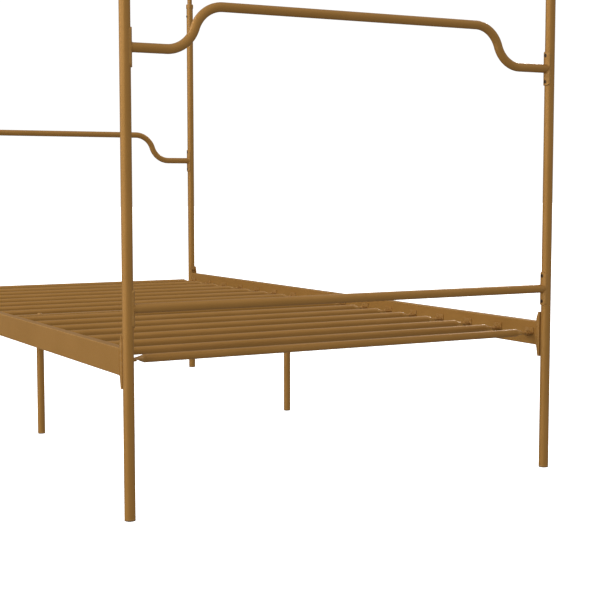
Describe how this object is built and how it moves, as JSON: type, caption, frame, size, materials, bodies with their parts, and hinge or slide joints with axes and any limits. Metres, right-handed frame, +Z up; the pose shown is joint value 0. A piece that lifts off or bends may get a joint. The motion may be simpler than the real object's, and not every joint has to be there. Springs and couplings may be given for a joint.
{
  "type": "four poster canopy bed",
  "caption": "Four poster canopy bed frame in gold-painted steel tube, with a stepped arch rail at head and foot, tube slats, side rails and an open canopy frame.",
  "frame": {"origin": "on the floor, under the middle of the bed", "axes": "+X across the bed to the right seen from the head end, +Y along the bed from head to foot, +Z up"},
  "size_m": [1.0434, 1.9544, 1.981],
  "materials": {
    "gold_paint": "satin gold powder coat",
    "dark_screw": "dark bronze",
    "cap_plastic": "matte brown"
  },
  "bodies": {
    "root": {"bar_bolts": "gold_paint", "canopy_cap_nuts": "gold_paint", "canopy_plugs": "gold_paint", "canopy_rail_foot": "gold_paint", "canopy_rail_head": "gold_paint", "canopy_rail_left": "gold_paint", "canopy_rail_right": "gold_paint", "foot_arch_rail": "gold_paint", "foot_arch_saddle_left": "gold_paint", "foot_arch_saddle_right": "gold_paint", "head_arch_rail": "gold_paint", "head_arch_saddle_left": "gold_paint", "head_arch_saddle_right": "gold_paint", "head_lower_rail": "gold_paint", "head_lower_saddle_left": "gold_paint", "head_lower_saddle_right": "gold_paint", "leg_foot_caps": "cap_plastic", "lower_post_foot_left": "gold_paint", "lower_post_foot_right": "gold_paint", "lower_post_head_left": "gold_paint", "lower_post_head_right": "gold_paint", "post_collars": "gold_paint", "post_foot_caps": "cap_plastic", "post_joint_screws": "dark_screw", "saddle_screws": "dark_screw", "side_bracket_foot_left": "gold_paint", "side_bracket_foot_right": "gold_paint", "side_bracket_head_left": "gold_paint", "side_bracket_head_right": "gold_paint", "side_rail_bolts": "gold_paint", "side_rail_left": "gold_paint", "side_rail_right": "gold_paint", "slat_01": "gold_paint", "slat_02": "gold_paint", "slat_03": "gold_paint", "slat_04": "gold_paint", "slat_05": "gold_paint", "slat_06": "gold_paint", "slat_07": "gold_paint", "slat_08": "gold_paint", "slat_09": "gold_paint", "slat_10": "gold_paint", "slat_11": "gold_paint", "slat_12": "gold_paint", "slat_13": "gold_paint", "slat_14": "gold_paint", "slat_15": "gold_paint", "slat_16": "gold_paint", "slat_clips_left": "gold_paint", "slat_clips_right": "gold_paint", "slat_nuts": "gold_paint", "slat_screws": "gold_paint", "support_bar": "gold_paint", "support_leg_left": "gold_paint", "support_leg_right": "gold_paint", "upper_post_foot_left": "gold_paint", "upper_post_foot_right": "gold_paint", "upper_post_head_left": "gold_paint", "upper_post_head_right": "gold_paint"}
  },
  "joints": []
}
